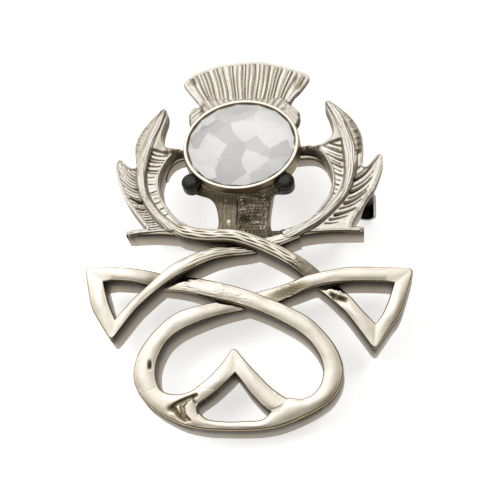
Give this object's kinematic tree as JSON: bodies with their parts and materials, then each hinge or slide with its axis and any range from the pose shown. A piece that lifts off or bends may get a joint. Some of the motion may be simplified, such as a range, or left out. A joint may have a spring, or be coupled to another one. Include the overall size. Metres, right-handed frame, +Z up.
{
  "type": "thistle brooch",
  "caption": "Openwork thistle brooch with an interlaced knot, two ribbed leaves, a faceted oval stone, dark side stones and a pin fitting behind.",
  "frame": {"origin": "centre of the bounding box, on the surface that the brooch lies on", "axes": "+X to the viewer's right, +Y along the brooch toward the tuft, +Z up from the surface; the flat back leans 6.7 degrees, its tuft end raised, because the pin fitting holds it off the surface"},
  "size_m": [0.0486, 0.0606, 0.0129],
  "materials": {
    "plated_metal": "polished plating, ribbed and satin in the relief",
    "clear_stone": "clear cut stone with a silvered back",
    "dark_stone": "black cut stone, polished",
    "fitting_metal": "plain satin steel"
  },
  "bodies": {
    "root": {"casting": "plated_metal", "centre_stone": "clear_stone", "side_stone_left": "dark_stone", "side_stone_right": "dark_stone", "pin_fitting": "fitting_metal"}
  },
  "joints": []
}
